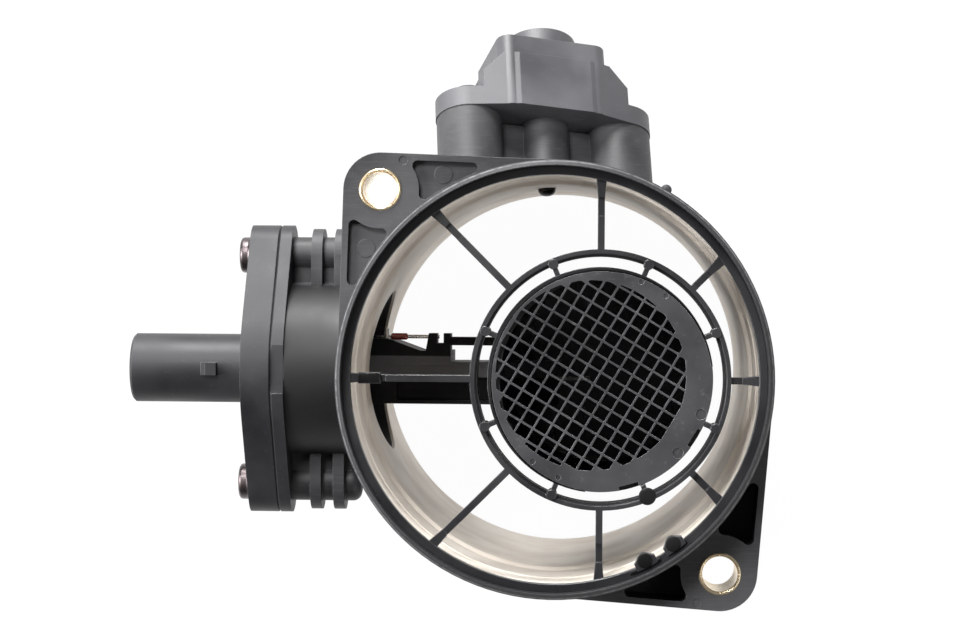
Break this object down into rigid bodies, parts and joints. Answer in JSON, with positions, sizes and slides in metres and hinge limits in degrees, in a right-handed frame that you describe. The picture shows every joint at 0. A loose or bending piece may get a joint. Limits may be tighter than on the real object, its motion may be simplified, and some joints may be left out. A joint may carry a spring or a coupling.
{
  "type": "mass airflow sensor",
  "caption": "Round intake duct with a gridded inner tube on spokes, a plug-in hot-film sensor, a screwed-on pressure sensor and a flange with bolt ears.",
  "frame": {"origin": "centre of the duct's outlet end, on the duct axis", "axes": "+Z along the duct axis towards the inlet mouth; -X towards the hot-film sensor and its connector; +Y towards the pressure sensor"},
  "size_m": [0.1417, 0.1256, 0.098],
  "materials": {
    "black_plastic": "moulded black glass-filled plastic, satin",
    "liner_metal": "rolled sheet, satin",
    "brass": "turned, satin",
    "seal_rubber": "matt",
    "board": "solder mask, satin",
    "chip": "moulded epoxy, matt",
    "contact_metal": "plated, bright",
    "ceramic": "fired ceramic, semi-gloss",
    "red_glass": "red glass, glossy",
    "tinned_wire": "tinned, bright",
    "screw_steel": "plated, bright"
  },
  "bodies": {
    "root": {"duct_housing": "black_plastic", "air_liner": "liner_metal", "flange_bushings": "brass", "grille_carrier": "black_plastic", "flow_grid": "black_plastic", "flow_tube": "black_plastic", "tube_tail": "black_plastic", "sensor_body": "black_plastic", "sensor_seal": "seal_rubber", "sensor_cover": "black_plastic", "cover_gasket": "seal_rubber", "circuit_board": "board", "board_chips": "chip", "lead_frame": "contact_metal", "arm_lid": "black_plastic", "hot_film_element": "ceramic", "temperature_bead": "red_glass", "bead_leads": "tinned_wire", "connector_pins": "contact_metal", "sensor_screws": "screw_steel", "sensor_sleeves": "brass", "pressure_body": "black_plastic", "pressure_nipple": "black_plastic", "pressure_seal": "seal_rubber", "pressure_cell": "ceramic", "pressure_pins": "contact_metal", "pressure_screws": "screw_steel", "pressure_sleeves": "brass"}
  },
  "joints": []
}
